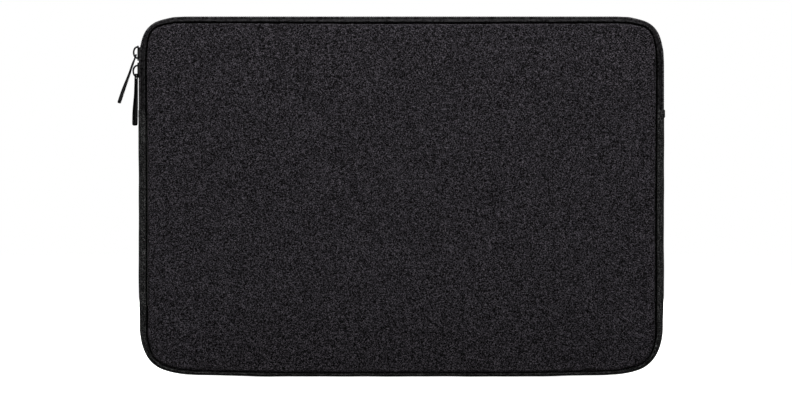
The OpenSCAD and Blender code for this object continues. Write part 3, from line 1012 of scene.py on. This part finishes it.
# The eye at its head: half its width, where it starts and ends, and how far its corners are cut off
EYE_HALF, EYE_LOW, EYE_HIGH, EYE_CUT = 1.5, 0.6, 3.4, 0.4
EYE_MIDDLE = (EYE_LOW + EYE_HIGH) / 2
# Its thickness at the head, which changes past the eye over a length, and what its tip has more
HEAD_THICK, HEAD_LEN = 1.2, 4
TIP_EXTRA, TIP_FROM, TIP_LEN = 0.95, 12, 20
# How far in from an edge it is rounded, and the share of its thickness that is left at the edge
TAB_ROUND, EDGE_SHARE = 0.45, 0.4
# The distance between the points of its rim, its eye and its face, and how near to an edge the last may be
RIM_STEP, EYE_STEP, TAB_STEP, TAB_CLEAR = 0.45, 0.3, 0.34, 0.16
# Its outline on one side: how far along, half its width there
PULL_RIM = [
    (-0.6, 2.1), (-0.35, 2.5), (0.0, 2.6), (3.4, 2.6), (6.4, 2.65), (15.0, 3.05), (25.0, 3.5), (37.0, 3.5),
    (37.8, 3.38), (38.45, 2.95), (38.85, 2.35), (39.0, 1.6),
]


def loop_points(corners, step):
    """Points about step apart around a closed line."""
    corners = np.asarray(corners, float)
    found = []
    for a, b in zip(corners, np.roll(corners, -1, axis=0)):
        parts = max(1, round(np.hypot(*(b - a)) / step))
        found += [a + (b - a) * k / parts for k in range(parts)]
    return np.array(found)


def in_gap(across, along):
    """Whether a point of the flat tab lies in its eye or its hole."""
    past_cut = abs(across) + abs(along - EYE_MIDDLE) >= EYE_HALF + EYE_HIGH - EYE_MIDDLE - EYE_CUT
    in_eye = abs(across) < EYE_HALF and EYE_LOW < along < EYE_HIGH and not past_cut
    return in_eye or math.hypot(across, along - TIP_HOLE_AT) <= TIP_HOLE_R - 0.04


def tab_sheet():
    """A flat tab: points of (across, along), each one's distance from an edge, triangles and edge lines."""
    rim = loop_points([(w, t) for t, w in PULL_RIM] + [(-w, t) for t, w in PULL_RIM[::-1]], RIM_STEP)
    half, low, high = EYE_HALF - EYE_CUT, EYE_LOW + EYE_CUT, EYE_HIGH - EYE_CUT
    right = [(half, EYE_LOW), (EYE_HALF, low), (EYE_HALF, high), (half, EYE_HIGH)]
    eye = loop_points([(-half, EYE_LOW)] + right + [(-w, t) for w, t in right[:0:-1]], EYE_STEP)
    angle = np.linspace(0, 2 * math.pi, 22, endpoint=False)
    hole = np.stack([TIP_HOLE_R * np.cos(angle), TIP_HOLE_AT + TIP_HOLE_R * np.sin(angle)], -1)
    loops = [rim, eye, hole]
    edge = np.vstack(loops)
    grid = np.meshgrid(np.arange(-3.4, 3.41, TAB_STEP), np.arange(-0.4, PULL_LEN, TAB_STEP))
    w, t = (g.ravel() for g in grid)
    away = np.hypot(w[:, None] - edge[None, :, 0], t[:, None] - edge[None, :, 1]).min(1)
    half_width = np.interp(t, [t for t, _ in PULL_RIM], [w for _, w in PULL_RIM])
    inside = (np.abs(w) < half_width) & (away > TAB_CLEAR)
    inside &= ~((np.abs(w) < EYE_HALF) & (t > EYE_LOW) & (t < EYE_HIGH))
    inside &= np.hypot(w, t - TIP_HOLE_AT) > TIP_HOLE_R
    points = np.vstack([edge, np.stack([w[inside], t[inside]], -1)])
    away = np.concatenate([np.zeros(len(edge)), away[inside]])
    lines = []
    for one in loops:
        first = len(lines)
        lines += [(first + k, first + (k + 1) % len(one)) for k in range(len(one))]
    found = fill_flat(points, len(rim), lines[len(rim) :], 1e-6)
    faces = [f for f in found if not in_gap(*points[f].mean(0))]
    return points, away, faces, lines


TAB = tab_sheet()


def pull(name, node, body, pivot_z, lean, twist, slid, stout):
    """A cast tab with softened edges: its thickness is stout past the head, and more towards the tip.

    It leans out from its pivot, is turned by twist about its length and is slid towards the sleeve.
    """
    points, away, sheet, lines = TAB
    n = len(points)
    soft = EDGE_SHARE + (1 - EDGE_SHARE) * np.sqrt(1 - (1 - np.clip(away / TAB_ROUND, 0, 1)) ** 2)
    thick = HEAD_THICK + (stout - HEAD_THICK) * ease((points[:, 1] - EYE_HIGH) / HEAD_LEN)
    thick = thick + TIP_EXTRA * ease((points[:, 1] - TIP_FROM) / TIP_LEN)
    middle = thick / 2 - HEAD_THICK / 2
    faces = sheet + [[i + n for i in f[::-1]] for f in sheet]
    faces += [[i, j, j + n, i + n] for i, j in lines]
    across, along = np.tile(points, (2, 1)).T
    out = np.concatenate([middle + thick / 2 * soft, middle - thick / 2 * soft])
    y = across * math.cos(twist) - out * math.sin(twist)
    out = out * math.cos(twist) + across * math.sin(twist)
    x = PIVOT_X + slid - along * math.sin(lean) - out * math.cos(lean)
    z = pivot_z - along * math.cos(lean) + out * math.sin(lean)
    made = outward(mesh_piece(name, np.stack([x, y, z], -1), faces))
    made.data.set_sharp_from_angle(angle=math.radians(50))
    finish_piece(made, PULL, [node], body)


for name, node, pivot_z, lean, twist, slid, stout in (
    ("upper_pull_tab", "upper_pull", UPPER_Z - 1.35, 18.5, 0.0, 0.0, 1.6),
    ("lower_pull_tab", "lower_pull", LOWER_Z - 3.25, 0.9, 24, 0.2, 1.2),
):
    pull(name, node, node, pivot_z, math.radians(lean), math.radians(twist), slid, stout)

# ---- camera, light and floor, in metres ----

# How far away the camera is, how wide the view is at the sleeve, and the sensor's width in mm
DISTANCE, WIDE, SENSOR = 4.0, 0.6027, 36
# The middle of the view, across and up
VIEW_X, VIEW_Z = -0.00407, 0.1335
cam = bpy.data.objects.new("camera", bpy.data.cameras.new("camera"))
cam.location = (VIEW_X, -DISTANCE, VIEW_Z)
cam.rotation_euler = (math.pi / 2, 0, 0)
cam.data.sensor_width = SENSOR
cam.data.lens = SENSOR * DISTANCE / WIDE
cam.data.clip_start, cam.data.clip_end = 0.05, 60
scene.collection.objects.link(cam)
scene.camera = cam
scene.view_settings.view_transform = "Standard"


def softbox(name, at, target, wide, tall, power):
    """A soft light that the camera doesn't see."""
    data = bpy.data.lights.new(name, "AREA")
    data.shape, data.size, data.size_y, data.energy = "RECTANGLE", wide, tall, power
    obj = bpy.data.objects.new(name, data)
    obj.location = at
    obj.rotation_euler = (Vector(target) - Vector(at)).to_track_quat("-Z", "Y").to_euler()
    obj.visible_camera = False
    scene.collection.objects.link(obj)


MIDDLE, UPPER = (0, 0, 0.14), (0, 0, 0.2)
for name, at, target, wide, tall, watts in (
    ("front_light", (0, -3.0, 0.3), MIDDLE, 2.4, 1.6, 48),
    ("key_light", (0, -0.6, 1.2), UPPER, 2.0, 0.7, 24),
    ("back_light", (0, 3.0, 0.9), MIDDLE, 2.4, 1.6, 60),
    ("back_key_light", (0, 1.0, 1.3), UPPER, 2.0, 0.9, 14),
    ("left_light", (-2.4, 0.0, 0.8), MIDDLE, 1.4, 1.6, 6),
    ("right_light", (2.4, 0.0, 0.8), MIDDLE, 1.4, 1.6, 4),
):
    softbox(name, at, target, wide, tall, watts)

world = bpy.data.worlds.new("studio")
scene.world = world
world.use_nodes = True
sky = world.node_tree.nodes["Background"]
sky.inputs["Color"].default_value = (1, 1, 1, 1)
sky.inputs["Strength"].default_value = 1.0
world.cycles_visibility.diffuse = False
world.cycles_visibility.glossy = False

# Half the width of the floor, and how far below the sleeve it is, in mm
FLOOR_HALF, FLOOR_GAP = 9000, 0.2
corners = [(x * FLOOR_HALF, y * FLOOR_HALF, -FLOOR_GAP) for x, y in ((-1, -1), (1, -1), (1, 1), (-1, 1))]
floor = mesh_piece("floor", corners, [[0, 1, 2, 3]])
pale = Nodes("pale_floor", 0.9)
pale.bsdf.inputs["Base Color"].default_value = (0.8, 0.8, 0.8, 1)
pale.bsdf.inputs["Specular IOR Level"].default_value = 0.0
# It glows less near the sleeve, as a painted shadow: between these distances in metres, from this strength to
# that
GLOW_WITH_PAINTED_SHADOW = (0.22, 0.6, 0.72, 1.0)
far = pale.add("VectorMath", {0: pale.add("TexCoord").outputs["Object"]}, operation="LENGTH").outputs["Value"]
pale.bsdf.inputs["Emission Color"].default_value = (1, 1, 1, 1)
pale.tree.links.new(pale.stretch(far, *GLOW_WITH_PAINTED_SHADOW), pale.bsdf.inputs["Emission Strength"])
floor.data.materials.append(pale.mat)
floor.visible_diffuse = floor.visible_glossy = False
